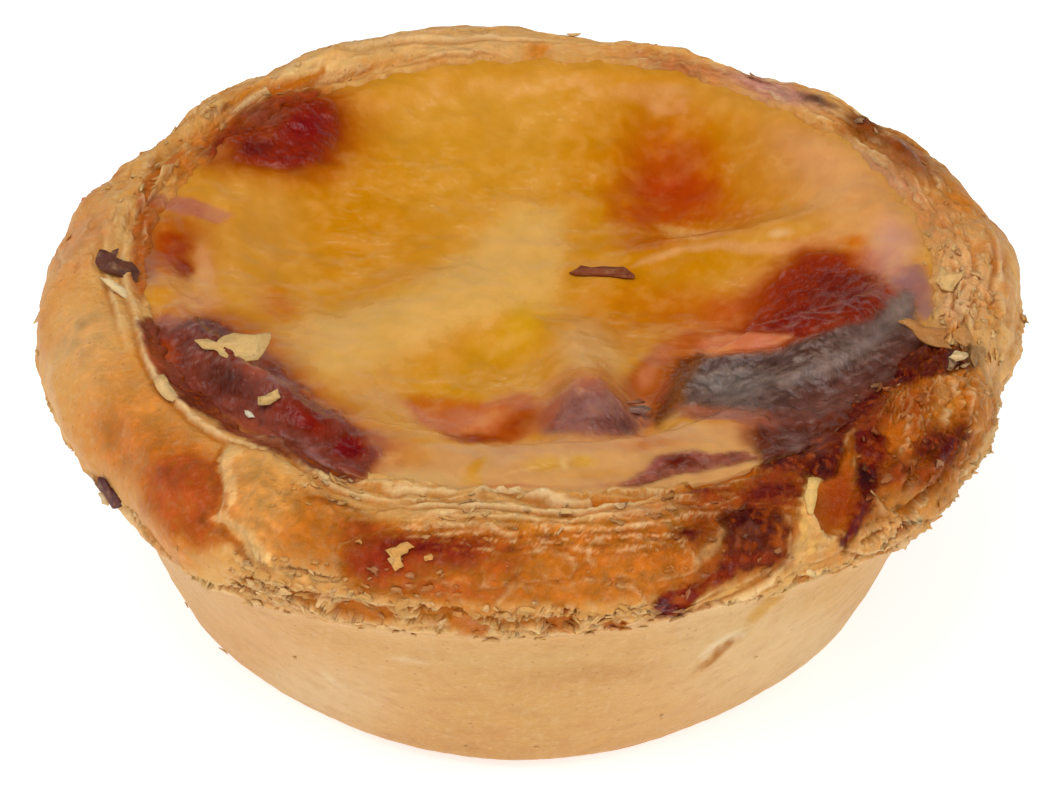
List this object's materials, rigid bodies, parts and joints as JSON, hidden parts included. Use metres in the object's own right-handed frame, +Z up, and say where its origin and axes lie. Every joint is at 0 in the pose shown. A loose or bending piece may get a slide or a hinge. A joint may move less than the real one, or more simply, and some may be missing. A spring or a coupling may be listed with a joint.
{
  "type": "custard tart",
  "caption": "Small round custard tart: a flaky laminated pastry cup with a thick folded rim, filled with baked, blistered custard.",
  "frame": {"origin": "middle of the flat underside", "axes": "+Z up out of the custard; -Y towards the side whose rim is most browned and torn; +X to the right of it"},
  "size_m": [0.0768, 0.0769, 0.0313],
  "materials": {
    "pastry": "baked laminated pastry, pale gold on the wall and browned to dark in places on the rim, flaky, slightly oily sheen",
    "custard": "baked egg custard, yellow to amber with dark caramelised patches, moist and glossy"
  },
  "bodies": {
    "root": {"pastry_shell": "pastry", "custard": "custard"}
  },
  "joints": []
}
